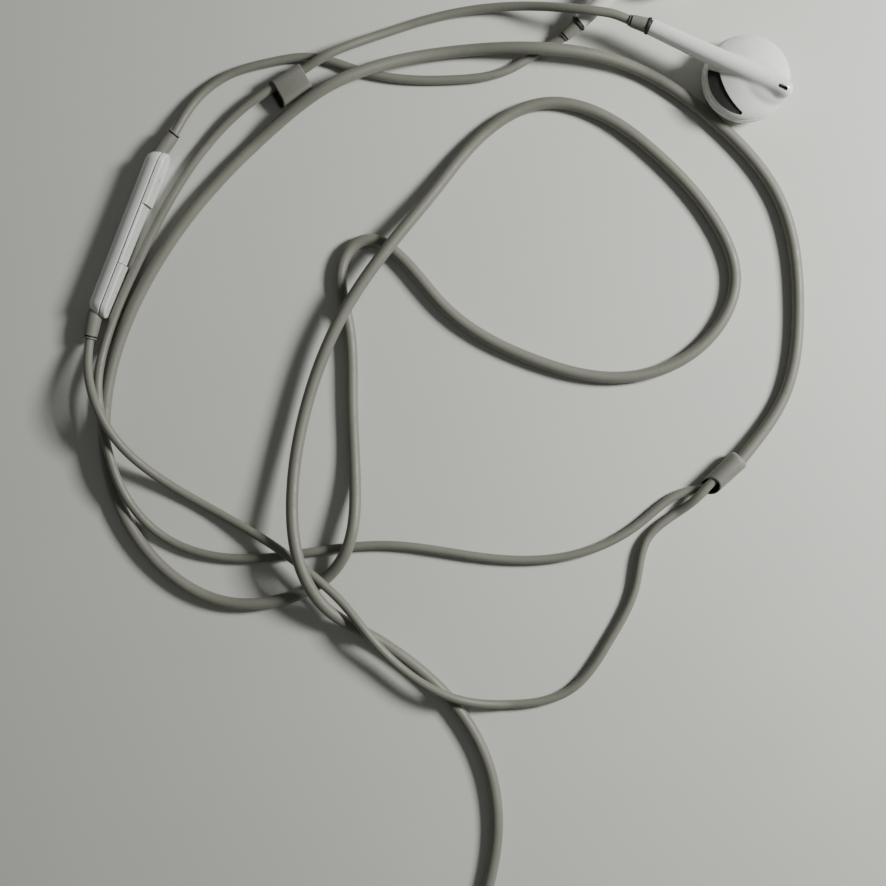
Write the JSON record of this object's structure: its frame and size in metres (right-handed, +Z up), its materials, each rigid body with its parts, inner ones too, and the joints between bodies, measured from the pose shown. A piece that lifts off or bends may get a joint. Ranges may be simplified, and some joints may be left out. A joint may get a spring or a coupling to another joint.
{
  "type": "wired earphones",
  "caption": "Pair of half-in-ear wired earphones with stems, in-line remote, cord slider, Y-split and jack plug, lying in loose loops of cord.",
  "frame": {"origin": "on the table, under the middle of the box round the two earpieces", "axes": "+Z up from the table; -Y towards the plug; +X to the right when the object is seen from above with the plug nearest"},
  "size_m": [0.1356, 0.23, 0.0117],
  "materials": {
    "white_gloss": "glossy moulded",
    "white_satin": "satin moulded",
    "grey_strain_relief": "matt moulded elastomer",
    "cord_jacket": "matt extruded elastomer",
    "dark_plastic": "matt moulded",
    "black_mesh": "fine black mesh",
    "diaphragm_film": "thin polymer film",
    "copper": "enamelled copper wire",
    "plated_steel": "zinc plated",
    "nickel_plate": "nickel plated",
    "gold_plate": "gold plated",
    "green_board": "solder mask",
    "black_tie": "woven hook-and-loop tape"
  },
  "bodies": {
    "earphones": {"left_front_cap": "white_gloss", "left_rear_shell": "white_gloss", "left_speaker_grille": "black_mesh", "left_driver_frame": "dark_plastic", "left_magnet": "nickel_plate", "left_pole_plate": "plated_steel", "left_yoke_cup": "plated_steel", "left_vent_mesh": "black_mesh", "left_port_mesh": "black_mesh", "left_inner_lead": "copper", "left_stem_collar": "grey_strain_relief", "right_front_cap": "white_gloss", "right_rear_shell": "white_gloss", "right_speaker_grille": "black_mesh", "right_driver_frame": "dark_plastic", "right_magnet": "nickel_plate", "right_pole_plate": "plated_steel", "right_yoke_cup": "plated_steel", "right_vent_mesh": "black_mesh", "right_port_mesh": "black_mesh", "right_inner_lead": "copper", "right_stem_collar": "grey_strain_relief", "remote_back_shell": "white_satin", "remote_front_plate": "dark_plastic", "remote_board": "green_board", "dome_switch_1": "plated_steel", "dome_switch_2": "plated_steel", "dome_switch_3": "plated_steel", "microphone": "nickel_plate", "remote_collar_upper": "grey_strain_relief", "remote_collar_lower": "grey_strain_relief", "y_split_sleeve": "cord_jacket", "plug_strain_relief": "grey_strain_relief", "plug_housing": "white_satin", "plug_sleeve_contact": "gold_plate", "plug_ring_2": "gold_plate", "plug_ring_1": "gold_plate", "plug_tip": "gold_plate", "plug_insulator": "dark_plastic", "main_cable": "cord_jacket", "left_branch_cable": "cord_jacket", "right_branch_lower_cable": "cord_jacket", "right_branch_upper_cable": "cord_jacket", "plug_tail_cable": "cord_jacket", "cable_coil": "cord_jacket", "coil_tie": "black_tie"},
    "volume_up_button": {"volume_up_key": "white_gloss"},
    "play_button": {"play_key": "white_gloss"},
    "volume_down_button": {"volume_down_key": "white_gloss"},
    "slider": {"cable_slider": "cord_jacket"},
    "left_diaphragm_unit": {"left_diaphragm": "diaphragm_film", "left_voice_coil": "copper"},
    "right_diaphragm_unit": {"right_diaphragm": "diaphragm_film", "right_voice_coil": "copper"}
  },
  "joints": [
    {"name": "volume_up_press", "type": "slide", "parent": "earphones", "child": "volume_up_button", "axis": [-0.9315, 0.3638, 0], "range_m": [0, 0.0002], "stiffness_N_per_m": 1000},
    {"name": "play_press", "type": "slide", "parent": "earphones", "child": "play_button", "axis": [-0.9315, 0.3638, 0], "range_m": [0, 0.0002], "stiffness_N_per_m": 1000},
    {"name": "volume_down_press", "type": "slide", "parent": "earphones", "child": "volume_down_button", "axis": [-0.9315, 0.3638, 0], "range_m": [0, 0.0002], "stiffness_N_per_m": 1000},
    {"name": "slider_slide", "type": "slide", "parent": "earphones", "child": "slider", "axis": [0.87, 0.4912, 0.0421], "range_m": [-0.005, 0]},
    {"name": "left_diaphragm_travel", "type": "slide", "parent": "earphones", "child": "left_diaphragm_unit", "axis": [-0.0393, 0.019, 0.999], "range_m": [-0.00015, 0.00015], "stiffness_N_per_m": 300},
    {"name": "right_diaphragm_travel", "type": "slide", "parent": "earphones", "child": "right_diaphragm_unit", "axis": [-0.2034, -0.1707, 0.9641], "range_m": [-0.00015, 0.00015], "stiffness_N_per_m": 300}
  ]
}
